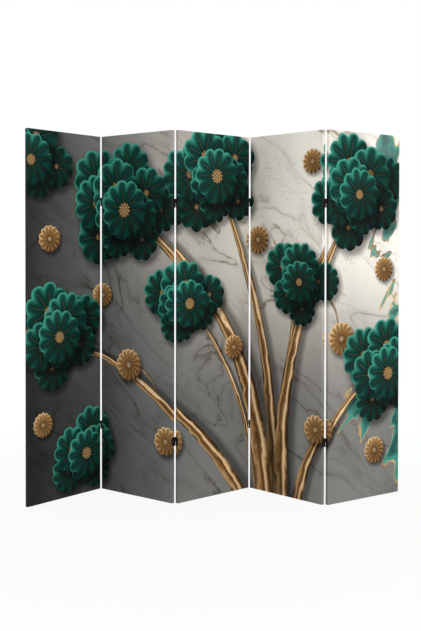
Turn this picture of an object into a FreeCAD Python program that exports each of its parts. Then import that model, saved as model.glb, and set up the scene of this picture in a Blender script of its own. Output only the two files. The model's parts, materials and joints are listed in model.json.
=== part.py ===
import FreeCAD, Part
import math
import os

os.makedirs("parts", exist_ok=True)

# A folding room divider of five stretched canvas panels.
# Lengths are millimetres and angles are degrees.
# The printed front looks towards -Y and the screen stands on Z = 0.

# Panel
panel_count = 5
panel_width = 450.0
panel_height = 1720.0
bar_thickness = 16.0
bar_width = 38.0
bar_edge_chamfer = 0.8
canvas_thickness = 0.5
canvas_flap_width = 21.0

# Front face of the bars: a raised outer lip that alone carries the canvas
lip_width = 7.0
lip_height = 2.4

# Mitred corner with a hidden tongue
tongue_thickness = 6.0
tongue_inset = 7.0

# Cross rail
cross_rail_height_share = 0.5
cross_rail_width = 38.0
cross_rail_setback = 2.0
tenon_length = 18.0
tenon_thickness = 6.0
tenon_shoulder = 6.0
tenon_end_gap = 1.0

# Folded shape: plan angle of the first panel and the fold left at each seam
first_panel_yaw = 49.9
seam_fold_angles = (88.0, 79.5, 86.8, 79.7)

# Heights of the hinge centres, at the seams behind and at the seams in front
far_hinge_heights = (1403.0, 314.0)
near_hinge_heights = (1385.0, 285.0)

# Double action hinge: two leaves and a middle plate that carries both pins.
# On each pin the leaf has the upper knuckle and the middle plate the lower one.
hinge_height = 40.0
leaf_thickness = 1.2
leaf_inset = 0.6
leaf_corner_chamfer = 3.0
plate_gap = 0.3
pin_radius = 1.1
pin_clearance = 0.05
pin_standoff = 0.5
knuckle_gap = 0.2

# A sheet laid over a 45 degree chamfer makes it wider by this share of its thickness
chamfer_growth_share = 2 - math.sqrt(2)

# Derived sizes
panel_depth = bar_thickness + canvas_thickness + canvas_thickness
seam_gap = 3 * leaf_thickness + 2 * plate_gap
knuckle_radius = seam_gap / 2
pin_offset = knuckle_radius + pin_standoff
canvas_edge_chamfer = bar_edge_chamfer + canvas_thickness * chamfer_growth_share
bar_front = canvas_thickness
bar_back = canvas_thickness + bar_thickness
bar_mid = (bar_front + bar_back) / 2
inner_edge = canvas_thickness + bar_width
cross_rail_centre = panel_height * cross_rail_height_share

up = FreeCAD.Vector(0, 0, 1)


def box(x_range, y_range, z_range):
    """A block between two limits on each axis."""
    size_x = x_range[1] - x_range[0]
    size_y = y_range[1] - y_range[0]
    size_z = z_range[1] - z_range[0]
    corner = FreeCAD.Vector(x_range[0], y_range[0], z_range[0])
    return Part.makeBox(size_x, size_y, size_z, corner)


def upright_cylinder(radius, x, y, z_range):
    """A cylinder whose axis is vertical."""
    foot = FreeCAD.Vector(x, y, z_range[0])
    return Part.makeCylinder(radius, z_range[1] - z_range[0], foot, up)


def moved(shape, placement):
    """A copy of a shape carried to its place in the screen."""
    copy = shape.copy()
    copy.Placement = placement.multiply(copy.Placement)
    return copy


def slide(x, y, z):
    """A placement that only shifts."""
    return FreeCAD.Placement(FreeCAD.Vector(x, y, z), FreeCAD.Rotation())


def turn(angle):
    """A placement that only turns about the vertical."""
    return FreeCAD.Placement(FreeCAD.Vector(0, 0, 0), FreeCAD.Rotation(up, angle))


def eased_front_block(inset, chamfer):
    """The panel's outer block with its four front edges eased."""
    x_range = (inset, panel_width - inset)
    y_range = (inset, panel_depth - inset)
    z_range = (inset, panel_height - inset)
    block = box(x_range, y_range, z_range)
    front_edges = []
    for edge in block.Edges:
        if edge.BoundBox.YMax < bar_mid:
            front_edges.append(edge)
    return block.makeChamfer(chamfer, front_edges)


def upright_rectangle(inset, y):
    """A rectangle in the panel's plane, a given distance inside its outline."""
    low_x = inset
    high_x = panel_width - inset
    low_z = inset
    high_z = panel_height - inset
    corners = [
        FreeCAD.Vector(low_x, y, low_z),
        FreeCAD.Vector(high_x, y, low_z),
        FreeCAD.Vector(high_x, y, high_z),
        FreeCAD.Vector(low_x, y, high_z),
        FreeCAD.Vector(low_x, y, low_z),
    ]
    return Part.makePolygon(corners)


def frame_opening():
    """The space inside the bars, splayed at the front behind the lip."""
    lip_edge = canvas_thickness + lip_width
    splay_back = bar_front + lip_height
    front = upright_rectangle(lip_edge, bar_front)
    back = upright_rectangle(inner_edge, splay_back)
    splay = Part.makeLoft([front, back], True, True)
    inner_x = (inner_edge, panel_width - inner_edge)
    inner_z = (inner_edge, panel_height - inner_edge)
    middle = box(inner_x, (splay_back, bar_back), inner_z)
    return splay.fuse(middle)


def mitre_prism(corners):
    """A block through the panel's depth whose outline is given in x and z."""
    points = []
    for x, z in corners + corners[:1]:
        points.append(FreeCAD.Vector(x, 0, z))
    face = Part.Face(Part.makePolygon(points))
    return face.extrude(FreeCAD.Vector(0, panel_depth, 0))


def bar_outlines():
    """The mitred outline of each outer bar, seen from the front."""
    reach = panel_width / 2
    top = panel_height
    right = panel_width
    return {
        "stile_left": [(0, 0), (reach, reach), (reach, top - reach), (0, top)],
        "stile_right": [(right, 0), (reach, reach), (reach, top - reach), (right, top)],
        "rail_top": [(0, top), (reach, top - reach), (right, top)],
        "rail_bottom": [(0, 0), (reach, reach), (right, 0)],
    }


def corner_tongues(rail_is_top):
    """The two tongues that a rail pushes into the stiles."""
    half = tongue_thickness / 2
    y_range = (bar_mid - half, bar_mid + half)
    near = canvas_thickness + tongue_inset
    far = inner_edge
    if rail_is_top:
        z_range = (panel_height - far + tongue_inset, panel_height - near)
    else:
        z_range = (near, far - tongue_inset)
    left = box((near, far), y_range, z_range)
    right = box((panel_width - far, panel_width - near), y_range, z_range)
    return left, right


def cross_rail_tenon(end_gap):
    """A long block that is both tenons of the cross rail, or both mortises."""
    half_thickness = tenon_thickness / 2
    half_width = cross_rail_width / 2 - tenon_shoulder
    reach = tenon_length + end_gap
    x_range = (inner_edge - reach, panel_width - inner_edge + reach)
    y_range = (bar_mid - half_thickness, bar_mid + half_thickness)
    z_range = (cross_rail_centre - half_width, cross_rail_centre + half_width)
    return box(x_range, y_range, z_range)


def panel_bars():
    """The five wooden bars of one panel."""
    blank = eased_front_block(canvas_thickness, bar_edge_chamfer)
    blank = blank.cut(frame_opening())
    bars = {}
    for name, outline in bar_outlines().items():
        bars[name] = blank.common(mitre_prism(outline))
    mortises = cross_rail_tenon(tenon_end_gap)
    for rail, is_top in (("rail_top", True), ("rail_bottom", False)):
        left, right = corner_tongues(is_top)
        bars[rail] = bars[rail].fuse([left, right]).removeSplitter()
        bars["stile_left"] = bars["stile_left"].cut(left)
        bars["stile_right"] = bars["stile_right"].cut(right)
    bars["stile_left"] = bars["stile_left"].cut(mortises)
    bars["stile_right"] = bars["stile_right"].cut(mortises)
    half = cross_rail_width / 2
    x_range = (inner_edge, panel_width - inner_edge)
    y_range = (bar_front + lip_height + cross_rail_setback, bar_back)
    z_range = (cross_rail_centre - half, cross_rail_centre + half)
    body = box(x_range, y_range, z_range)
    bars["rail_cross"] = body.fuse(cross_rail_tenon(0)).removeSplitter()
    return bars


def panel_layer(shape, y_range):
    """What a shape has between two depths of the panel."""
    layer = box((0, panel_width), y_range, (0, panel_height))
    return shape.common(layer)


def mitred_strips(ring):
    """The four strips of a ring round the panel, parted at its corners."""
    strips = []
    for outline in bar_outlines().values():
        strips.append(ring.common(mitre_prism(outline)))
    return strips


def panel_canvas():
    """The canvas as its front, its wrapped edges and its flaps on the back."""
    outer = eased_front_block(0, canvas_edge_chamfer)
    inner = eased_front_block(canvas_thickness, bar_edge_chamfer)
    opening_x = (canvas_flap_width, panel_width - canvas_flap_width)
    opening_z = (canvas_flap_width, panel_height - canvas_flap_width)
    opening = box(opening_x, (bar_mid, panel_depth), opening_z)
    whole = outer.cut(inner).cut(opening)
    front = panel_layer(whole, (0, bar_front))
    edges = panel_layer(whole, (bar_front, bar_back))
    flaps = panel_layer(whole, (bar_back, panel_depth))
    return {
        "canvas_front": [front],
        "canvas_edges": mitred_strips(edges),
        "canvas_flaps": mitred_strips(flaps),
    }


def left_leaf(height):
    """The leaf on a panel's right edge, with its knuckle on the front pin."""
    low = height - hinge_height / 2
    high = height + hinge_height / 2
    y_range = (leaf_inset, panel_depth - leaf_inset)
    plate = box((0, leaf_thickness), y_range, (low, high))
    rounded = []
    for edge in plate.Edges:
        is_across = edge.BoundBox.XLength > leaf_thickness / 2
        if is_across and edge.BoundBox.YMin > panel_depth / 2:
            rounded.append(edge)
    plate = plate.makeChamfer(leaf_corner_chamfer, rounded)
    upper = (height + knuckle_gap / 2, high)
    ring = upright_cylinder(knuckle_radius, knuckle_radius, -pin_offset, upper)
    neck = box((0, leaf_thickness), (-pin_offset, leaf_inset), upper)
    leaf = plate.fuse([ring, neck]).removeSplitter()
    bore = upright_cylinder(pin_radius + pin_clearance, knuckle_radius, -pin_offset, upper)
    return leaf.cut(bore)


def middle_plate(height):
    """The plate between the leaves, with a knuckle and a pin at each side."""
    low = height - hinge_height / 2
    high = height + hinge_height / 2
    half = leaf_thickness / 2
    front_pin = -pin_offset
    rear_pin = panel_depth + pin_offset
    clear = knuckle_radius + plate_gap
    lower = (low, height - knuckle_gap / 2)
    plate = box((-half, half), (front_pin + clear, rear_pin - clear), (low, high))
    pieces = [box((-half, half), (front_pin, rear_pin), lower)]
    for y in (front_pin, rear_pin):
        pieces.append(upright_cylinder(knuckle_radius, 0, y, lower))
        pieces.append(upright_cylinder(pin_radius, 0, y, (low, high)))
    return plate.fuse(pieces).removeSplitter()


def is_far(seam):
    """Seams behind fold front to front, the ones in front back to back."""
    return seam % 2 == 0


def seam_heights(seam):
    """The heights of the two hinges of a seam."""
    return far_hinge_heights if is_far(seam) else near_hinge_heights


def folded_plan():
    """The placements of the panels and of the hinge plates between them."""
    panels = [turn(first_panel_yaw)]
    links = []
    rear_pin = panel_depth + pin_offset
    for seam in range(panel_count - 1):
        fold = seam_fold_angles[seam]
        front_fold = fold if is_far(seam) else 0
        rear_fold = 0 if is_far(seam) else fold
        link = panels[-1].multiply(slide(panel_width + seam_gap / 2, -pin_offset, 0))
        link = link.multiply(turn(-front_fold)).multiply(slide(0, pin_offset, 0))
        links.append(link)
        panel = link.multiply(slide(0, rear_pin, 0)).multiply(turn(rear_fold))
        panels.append(panel.multiply(slide(seam_gap / 2, -rear_pin, 0)))
    return panels, links


def plan_centre(panels, links):
    """The middle of the folded screen's outline, seen from above."""
    eased = canvas_edge_chamfer
    corners = []
    for side, inward in ((0, eased), (panel_width, -eased)):
        corners.append((side + inward, 0))
        corners.append((side, eased))
        corners.append((side, panel_depth))
    discs = []
    for panel in panels:
        for x, y in corners:
            discs.append((panel.multVec(FreeCAD.Vector(x, y, 0)), 0))
    for link in links:
        for y in (-pin_offset, panel_depth + pin_offset):
            discs.append((link.multVec(FreeCAD.Vector(0, y, 0)), knuckle_radius))
    low_x = min(centre.x - radius for centre, radius in discs)
    high_x = max(centre.x + radius for centre, radius in discs)
    low_y = min(centre.y - radius for centre, radius in discs)
    high_y = max(centre.y + radius for centre, radius in discs)
    return (low_x + high_x) / 2, (low_y + high_y) / 2


def save(name, shapes):
    """Write one node, with its pieces as separate solids."""
    whole = shapes[0] if len(shapes) == 1 else Part.makeCompound(shapes)
    whole.exportStep(os.path.join("parts", name + ".step"))


def save_panel(index, placement, bars, canvas):
    """Write the wooden bars and the canvas of one panel."""
    name = "panel_" + str(index + 1)
    for bar_name, bar in bars.items():
        save(name + "_" + bar_name, [moved(bar, placement)])
    for canvas_name, pieces in canvas.items():
        save(name + "_" + canvas_name, [moved(piece, placement) for piece in pieces])


def save_seam(seam, left_panel, link, right_panel):
    """Write the leaves and the middle plates of the two hinges of a seam."""
    heights = seam_heights(seam)
    name = "hinge_" + str(seam + 1)
    leaves = [left_leaf(height) for height in heights]
    right_edge = left_panel.multiply(slide(panel_width, 0, 0))
    left_edge = right_panel.multiply(slide(0, panel_depth, 0)).multiply(turn(180))
    save(name + "_leaves_left", [moved(leaf, right_edge) for leaf in leaves])
    save(name + "_leaves_right", [moved(leaf, left_edge) for leaf in leaves])
    save(name + "_plates", [moved(middle_plate(height), link) for height in heights])


def main():
    """Build the whole folded screen."""
    panels, links = folded_plan()
    centre_x, centre_y = plan_centre(panels, links)
    shift = slide(-centre_x, -centre_y, 0)
    panels = [shift.multiply(panel) for panel in panels]
    links = [shift.multiply(link) for link in links]
    bars = panel_bars()
    canvas = panel_canvas()
    for index in range(panel_count):
        save_panel(index, panels[index], bars, canvas)
    for seam in range(panel_count - 1):
        save_seam(seam, panels[seam], links[seam], panels[seam + 1])


main()
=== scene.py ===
"""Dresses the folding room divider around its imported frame.

Each of the five panels gets a printed canvas that is cut flat, folded round the
pine stretcher bars and stapled at the back. The hinges get screws, pin heads and
paint. Every length is in metres and the printed front looks towards -Y.
"""

import json
import logging
import math
from collections.abc import Callable
from dataclasses import dataclass, field
from enum import Enum
from itertools import product
from types import SimpleNamespace
from typing import ClassVar

import bmesh
import bpy
from mathutils import Matrix, Vector

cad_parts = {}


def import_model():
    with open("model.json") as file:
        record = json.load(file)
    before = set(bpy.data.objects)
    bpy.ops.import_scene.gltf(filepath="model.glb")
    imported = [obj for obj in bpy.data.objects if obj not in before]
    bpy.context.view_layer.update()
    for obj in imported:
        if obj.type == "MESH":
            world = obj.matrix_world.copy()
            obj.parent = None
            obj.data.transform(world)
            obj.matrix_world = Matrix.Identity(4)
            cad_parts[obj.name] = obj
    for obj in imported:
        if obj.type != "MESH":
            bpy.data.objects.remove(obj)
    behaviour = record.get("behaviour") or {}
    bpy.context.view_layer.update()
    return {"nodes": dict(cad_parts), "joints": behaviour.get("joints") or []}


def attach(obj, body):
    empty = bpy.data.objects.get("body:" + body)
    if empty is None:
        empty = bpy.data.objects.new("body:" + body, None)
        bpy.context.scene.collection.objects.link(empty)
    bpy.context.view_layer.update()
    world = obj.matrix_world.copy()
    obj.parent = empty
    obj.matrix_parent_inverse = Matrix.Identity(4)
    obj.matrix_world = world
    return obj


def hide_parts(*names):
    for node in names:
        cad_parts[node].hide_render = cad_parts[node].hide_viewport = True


log = logging.getLogger("room_divider")

MM = 0.001
TOUCH = 1e-6
QUARTER_TURN = math.pi / 2

BMesh = bmesh.types.BMesh
Point = tuple[float, float]
Triple = tuple[float, float, float]
Ramp = dict[float, Triple]
Feed = "Signal | bpy.types.NodeSocket | float | tuple[float, ...]"
Feeds = dict[str | int, Feed]
Signals = dict[str, "Signal"]
Setting = str | bpy.types.NodeTree


class Slot(Enum):
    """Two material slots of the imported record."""

    CANVAS = "printed_canvas"
    STEEL = "hinge_steel"


@dataclass(frozen=True)
class ScreenSizes:
    """The real sizes of the screen that its dressing needs."""

    panel_count: int = 5
    panel_width: float = 450 * MM
    panel_height: float = 1720 * MM
    bar_thickness: float = 16 * MM
    canvas_thickness: float = 0.5 * MM
    flap_width: float = 21 * MM
    lip_width: float = 7 * MM
    seam_gap: float = 4.2 * MM
    pin_offset: float = 2.6 * MM
    hinge_height: float = 40 * MM
    leaf_thickness: float = 1.2 * MM
    far_hinge_heights: Point = (1403 * MM, 314 * MM)
    near_hinge_heights: Point = (1385 * MM, 285 * MM)

    @property
    def panel_depth(self) -> float:
        """The panel's depth with its canvas."""
        return self.bar_thickness + 2 * self.canvas_thickness

    @property
    def turned_margin(self) -> float:
        """How far the flat canvas reaches past the panel's front on each side."""
        return self.panel_depth + self.flap_width

    @property
    def mural_width(self) -> float:
        """The print's width over all panels laid flat."""
        return self.panel_count * self.panel_width

    def hinge_heights(self, seam: int) -> Point:
        """The heights of the two hinges of a seam, which is counted from 1."""
        return self.far_hinge_heights if seam % 2 else self.near_hinge_heights


@dataclass(frozen=True)
class ScreenPlan:
    """Where the panels and the hinge plates stand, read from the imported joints."""

    sizes: ScreenSizes
    joints: dict[str, dict]

    def pin(self, seam: int, side: str) -> Vector:
        """The foot of a seam's front or rear pin."""
        return Vector(self.joints[f"seam_{seam}_{side}_pin"]["pos_m"])

    def rest_fold(self, seam: int, side: str) -> float:
        """The fold angle that a pin has at rest, in radians."""
        return -math.radians(self.joints[f"seam_{seam}_{side}_pin"]["range_deg"][0])

    def plate_yaw(self, seam: int) -> float:
        """The plan angle of a seam's middle plates."""
        across = self.pin(seam, "rear") - self.pin(seam, "front")
        return math.atan2(across.y, across.x) - QUARTER_TURN

    def panel_yaw(self, number: int) -> float:
        """Find the plan angle of a panel.

        Args:
            number: The panel, counted from 1.

        Returns:
            The angle in radians.
        """
        size = self.sizes
        if number == 1:
            return self.plate_yaw(1) + self.rest_fold(1, "front")
        if number == size.panel_count:
            return self.plate_yaw(number - 1) + self.rest_fold(number - 1, "rear")
        world = self.pin(number, "front") - self.pin(number - 1, "rear")
        run = size.panel_width + size.seam_gap
        drop = -(size.panel_depth + 2 * size.pin_offset)
        return math.atan2(world.y, world.x) - math.atan2(drop, run)

    def panel_place(self, number: int) -> Matrix:
        """The place of a panel's lower left front corner.

        Args:
            number: The panel, counted from 1.

        Returns:
            The matrix from the panel's own frame to the screen's.
        """
        size = self.sizes
        turn = Matrix.Rotation(self.panel_yaw(number), 4, "Z")
        if number < size.panel_count:
            pin = self.pin(number, "front")
            own = Vector((size.panel_width + size.seam_gap / 2, -size.pin_offset, 0))
        else:
            pin = self.pin(number - 1, "rear")
            own = Vector((-size.seam_gap / 2, size.panel_depth + size.pin_offset, 0))
        return Matrix.Translation(pin - turn @ own) @ turn


# --------------------------------------------------------------------------
# Shader nodes
# --------------------------------------------------------------------------


def joins(
    operation: str, kind: str = "Math", output: int = 0, swapped: bool = False
) -> Callable[..., "Signal"]:
    """Make a method that joins a signal and other values with one node.

    Args:
        operation: The node's operation.
        kind: The node's type without its Shader Node prefix.
        output: Which of the node's outputs is the result.
        swapped: Whether the signal comes after the other values.

    Returns:
        The method, which takes the other values.
    """

    def method(signal: "Signal", *others: Feed) -> "Signal":
        """Add the node.

        Args:
            signal: The signal itself.
            others: What else goes into the node, in order.

        Returns:
            The node's result.
        """
        values = (*others, signal) if swapped else (signal, *others)
        feeds = dict(enumerate(values))
        return signal.wires.result(kind, feeds, output, operation=operation)

    return method


@dataclass(frozen=True)
class Signal:
    """An output socket that takes arithmetic, one node for each step.

    Of numbers, x.line(a, b) is x times a plus b. From plus to length they are for
    vectors, and x.crossed(a) is a cross x.
    """

    wires: "Wiring"
    socket: bpy.types.NodeSocket

    __add__ = joins("ADD")
    __sub__ = joins("SUBTRACT")
    __rsub__ = joins("SUBTRACT", swapped=True)
    __mul__ = joins("MULTIPLY")
    __truediv__ = joins("DIVIDE")
    __rtruediv__ = joins("DIVIDE", swapped=True)
    __pow__ = joins("POWER")
    __abs__ = joins("ABSOLUTE")
    line = joins("MULTIPLY_ADD")
    sine = joins("SINE")
    cosine = joins("COSINE")
    angle = joins("ARCTAN2")
    root = joins("SQRT")
    fraction = joins("FRACT")
    larger = joins("MAXIMUM")
    plus = joins("ADD", "VectorMath")
    minus = joins("SUBTRACT", "VectorMath")
    times = joins("MULTIPLY", "VectorMath")
    crossed = joins("CROSS_PRODUCT", "VectorMath", swapped=True)
    unit = joins("NORMALIZE", "VectorMath")
    dot = joins("DOT_PRODUCT", "VectorMath", output=1)
    length = joins("LENGTH", "VectorMath", output=1)

    def step(self, start: Feed, end: Feed) -> "Signal":
        """A smooth rise from 0 at start to 1 at end, in either direction."""
        feeds = {"Value": self, "From Min": start, "From Max": end}
        return self.wires.result("MapRange", feeds, interpolation_type="SMOOTHSTEP")

    def span(self, low: Feed, high: Feed) -> "Signal":
        """A number from 0 to 1 carried to the range from low to high."""
        feeds = {"Value": self, "To Min": low, "To Max": high}
        return self.wires.result("MapRange", feeds)

    def scaled(self, factor: Feed) -> "Signal":
        """A vector times a number."""
        feeds = {0: self, "Scale": factor}
        return self.wires.result("VectorMath", feeds, operation="SCALE")

    def parts(self) -> list["Signal"]:
        """The three numbers of a vector."""
        node = self.wires.node("SeparateXYZ", {0: self})
        return [Signal(self.wires, output) for output in node.outputs]


class Wiring:
    """Adds nodes to one node tree and joins them."""

    def __init__(self, tree: bpy.types.NodeTree) -> None:
        """Keep the tree that the nodes go into."""
        self.tree = tree

    def feed(self, node: bpy.types.Node, feeds: Feeds) -> None:
        """Link a node's inputs, or set their constants.

        Args:
            node: The node that is fed.
            feeds: What goes into its inputs, by name or number.
        """
        for name, value in feeds.items():
            socket = node.inputs[name]
            if isinstance(value, Signal):
                value = value.socket
            if isinstance(value, bpy.types.NodeSocket):
                self.tree.links.new(value, socket)
            elif socket.type == "RGBA":
                socket.default_value = (*value, 1.0)
            else:
                socket.default_value = value

    def node(
        self, kind: str, feeds: Feeds | None = None, **settings: Setting
    ) -> bpy.types.Node:
        """Add one node.

        Args:
            kind: The node's type without its Shader Node prefix.
            feeds: What goes into its inputs, by name or number.
            settings: The node's own options.

        Returns:
            The new node.
        """
        new = self.tree.nodes.new("ShaderNode" + kind)
        for name, value in settings.items():
            setattr(new, name, value)
        self.feed(new, feeds or {})
        return new

    def result(
        self,
        kind: str,
        feeds: Feeds | None = None,
        output: str | int = 0,
        **settings: Setting,
    ) -> Signal:
        """One output of a new node."""
        return Signal(self, self.node(kind, feeds, **settings).outputs[output])

    def outputs(self, node: bpy.types.Node) -> SimpleNamespace:
        """Collect all outputs of a node.

        Args:
            node: The node.

        Returns:
            The outputs, by their names in lower case.
        """
        signals = {}
        for output in node.outputs:
            signals[output.name.lower().replace(" ", "_")] = Signal(self, output)
        return SimpleNamespace(**signals)

    def joined(self, *values: Feed) -> Signal:
        """A vector from two or three numbers."""
        return self.result("CombineXYZ", dict(enumerate(values)))

    def mix(
        self, factor: Feed, first: Feed, second: Feed, blend: str = "MIX"
    ) -> Signal:
        """A colour between two others."""
        feeds = {0: factor, 6: first, 7: second}
        return self.result("Mix", feeds, 2, data_type="RGBA", blend_type=blend)

    def ramp(self, value: Feed, stops: Ramp) -> Signal:
        """Add a colour ramp.

        Args:
            value: What the ramp reads, from 0 to 1.
            stops: The colours, by their places on the ramp.

        Returns:
            The ramp's colour.
        """
        new = self.node("ValToRGB", {0: value})
        elements = new.color_ramp.elements
        while len(elements) < len(stops):
            elements.new(0.5)
        for element, (place, colour) in zip(elements, sorted(stops.items())):
            element.position = place
            element.color = (*colour, 1.0)
        return Signal(self, new.outputs[0])

    def noise(
        self, vector: Feed, scale: float, detail: float = 2.0, **feeds: Feed
    ) -> Signal:
        """Add soft noise.

        Args:
            vector: The place that the noise reads.
            scale: How many bumps it has over a length of 1.
            detail: How many finer layers it has.
            feeds: The node's other inputs, by name in lower case.

        Returns:
            A number from 0 to 1, about 0.5 on average.
        """
        own = {"Vector": vector, "Scale": scale, "Detail": detail}
        own.update({name.capitalize(): value for name, value in feeds.items()})
        return self.result("TexNoise", own)

    def effect(self, kind: type["Effect"], **feeds: Feed) -> SimpleNamespace:
        """Place a shared effect.

        Args:
            kind: The effect's class.
            feeds: What goes into its named inputs, in lower case.

        Returns:
            What the effect gives, by name in lower case.
        """
        named = {name.capitalize(): value for name, value in feeds.items()}
        return self.outputs(self.node("Group", named, node_tree=kind.tree()))


class Effect:
    """A shader node group that is built once and placed in many materials.

    Takes and gives name the group's sockets, by their kind.
    """

    title: ClassVar[str]
    takes: ClassVar[dict[str, tuple[str, ...]]]
    gives: ClassVar[dict[str, tuple[str, ...]]]

    @classmethod
    def tree(cls) -> bpy.types.NodeTree:
        """Build the group the first time that it is asked for.

        Returns:
            The group.
        """
        known = bpy.data.node_groups.get(cls.title)
        if known:
            return known
        tree = bpy.data.node_groups.new(cls.title, "ShaderNodeTree")
        for direction, sockets in (("INPUT", cls.takes), ("OUTPUT", cls.gives)):
            for kind, names in sockets.items():
                for name in names:
                    tree.interface.new_socket(
                        name, in_out=direction, socket_type="NodeSocket" + kind
                    )
        source = tree.nodes.new("NodeGroupInput")
        sink = tree.nodes.new("NodeGroupOutput")
        wires = Wiring(tree)
        wires.feed(sink, cls.wire(wires, wires.outputs(source)))
        return tree

    @classmethod
    def wire(cls, w: Wiring, t: SimpleNamespace) -> Signals:
        """Join the group's nodes.

        Args:
            w: The group's wiring.
            t: What the group takes, by name in lower case.

        Returns:
            What the group gives.
        """
        raise NotImplementedError


class Layer(Effect):
    """A shape of the print. Shapes are laid from the topmost down.

    Color is what is laid so far, and Clear is how much of the lower layers still
    shows. Place goes on to the next layer with a shift that is too small to count.
    The shift makes the layers wait for each other, so that many of them fit into
    one material.
    """

    gives = {"Vector": ("Place",), "Color": ("Color",), "Float": ("Clear",)}
    waiting_shift: ClassVar[float] = 1e-9

    @classmethod
    def laid(
        cls, w: Wiring, t: SimpleNamespace, inside: Signal, colour: Signal, dark: Signal
    ) -> Signals:
        """Lay a shape and its shadow under what is laid so far.

        Args:
            w: The group's wiring.
            t: What the group takes.
            inside: 1 within the shape and 0 outside it.
            colour: The shape's colour.
            dark: How much the shape's shadow takes from the layers below.

        Returns:
            The new Place, Color and Clear.
        """
        shown = t.clear * inside
        clear = (t.clear - shown) * (1.0 - dark)
        laid = w.mix(shown, t.color, colour, "ADD")
        wait = w.joined(clear * cls.waiting_shift, 0.0)
        return {"Place": t.place.plus(wait), "Color": laid, "Clear": clear}


class LeafPad(Layer):
    """A round scalloped leaf, lit from the upper left, with its shadow."""

    title = "Leaf pad"
    takes = {
        "Vector": ("Place", "Centre"),
        "Color": ("Color", "Shade", "Body", "Glow", "Vein"),
        "Float": ("Clear", "Radius", "Turn", "Lobes", "Hub", "Ripple"),
    }
    light_way: ClassVar[Triple] = (-0.55, 0.8, 0.0)
    shadow_shift: ClassVar[Triple] = (0.13, -0.17, 0.0)
    shadow_depth: ClassVar[float] = 0.66
    dark_vein: ClassVar[Triple] = (0.16, 0.075, 0.02)
    dark_seed: ClassVar[Triple] = (0.060, 0.026, 0.006)

    @classmethod
    def wire(cls, w: Wiring, t: SimpleNamespace) -> Signals:
        """Shape the rim, the folds and the veins in polar coordinates.

        Args:
            w: The group's wiring.
            t: What the group takes, by name in lower case.

        Returns:
            What the group gives.
        """
        away = t.place.minus(t.centre).scaled(1.0 / t.radius)
        x = away.dot((1.0, 0.0, 0.0))
        y = away.dot((0.0, 1.0, 0.0))
        reach = away.length()
        around = (y.angle(x) + t.turn) * t.lobes
        half_round = around * 0.5
        lobe = abs(half_round.sine())
        rib = abs(half_round.cosine())
        rim = t.ripple.line(0.09, lobe**0.5 * 0.17 + 0.82)
        near = reach / rim
        inside = near.step(1.0, 0.975)

        light = away.dot(cls.light_way)
        fold = near.line(2.2, around).sine() * near
        ray = (around * 5.0).sine() * 0.035
        value = fold.line(0.14, near.line(0.30, 0.12))
        value = (light * near).line(0.24, value)
        value = ray.line(near, t.ripple.line(0.10, value))
        edge_light = light.line(0.26, 0.12)
        value = near.step(0.88, 0.97).line(edge_light, value)
        colour = w.mix(value.step(0.02, 0.42), t.shade, t.body)
        colour = w.mix(value.step(0.36, 0.85), colour, t.glow)

        line = (rib * reach).step(0.026, 0.010) * near.step(0.86, 0.55)
        lit_vein = w.mix(value.step(0.1, 0.6), cls.dark_vein, t.vein)
        colour = w.mix(line * 0.75, colour, lit_vein)
        hub = rib.line(-0.06, reach - t.hub).step(0.0, -0.015)
        bead = (reach * 38.0).sine() * around.sine()
        seed = w.mix(bead.step(-0.05, 0.4), cls.dark_seed, t.vein)
        colour = w.mix(hub, colour, seed)

        dark = away.minus(cls.shadow_shift).length().step(1.22, 0.82) * cls.shadow_depth
        return cls.laid(w, t, inside, colour, dark)


class GoldReed(Layer):
    """A tapering gold reed that bends between two points, with its shadow."""

    title = "Gold reed"
    takes = {
        "Vector": ("Place", "Start", "End"),
        "Color": ("Color",),
        "Float": ("Clear", "Bow", "Width", "Tip", "Ripple"),
    }
    fibres: ClassVar[tuple[Triple, ...]] = (
        (17.0, 1.3, 0.070),
        (41.0, -2.1, 0.045),
        (7.0, 4.5, 0.050),
    )
    gold: ClassVar[Ramp] = {
        0.0: (0.030, 0.014, 0.004),
        0.14: (0.115, 0.055, 0.017),
        0.27: (0.66, 0.43, 0.21),
        0.36: (0.84, 0.63, 0.38),
        0.46: (0.28, 0.145, 0.050),
        0.62: (0.070, 0.031, 0.008),
        0.76: (0.34, 0.185, 0.068),
        0.86: (0.50, 0.31, 0.14),
        1.0: (0.035, 0.016, 0.005),
    }
    shadow_shift: ClassVar[float] = 0.9
    shadow_depth: ClassVar[float] = 0.62

    @classmethod
    def wire(cls, w: Wiring, t: SimpleNamespace) -> Signals:
        """Run the gold across the reed by the distance from a parabola.

        Args:
            w: The group's wiring.
            t: What the group takes, by name in lower case.

        Returns:
            What the group gives.
        """
        chord = t.end.minus(t.start)
        length = chord.length()
        along = chord.unit()
        side = along.crossed((0.0, 0.0, 1.0))
        offset = t.place.minus(t.start)
        share = offset.dot(along) / length
        rest = 1.0 - share
        bowed = share * rest * 4.0 * t.bow
        off_line = offset.dot(side) - bowed
        slope = share.line(-8.0, 4.0) * t.bow / length
        stretch = slope.line(slope, 1.0).root()
        apart = off_line / stretch
        half_width = share.span(t.width, t.tip)
        across = t.ripple.line(0.10, apart / half_width)
        ends = share.step(-0.004, 0.0) * share.step(1.004, 1.0)
        inside = abs(across).step(1.0, 0.94) * ends

        band = across.line(0.5, 0.5)
        for pace, drift, depth in cls.fibres:
            wave = t.ripple.line(3.0, share.line(pace, across * drift))
            band = wave.sine().line(depth, band)
        colour = w.ramp(band, cls.gold)
        fallen = abs(across + cls.shadow_shift)
        dark = fallen.step(1.9, 0.6) * cls.shadow_depth
        return cls.laid(w, t, inside, colour, dark * ends)


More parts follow.
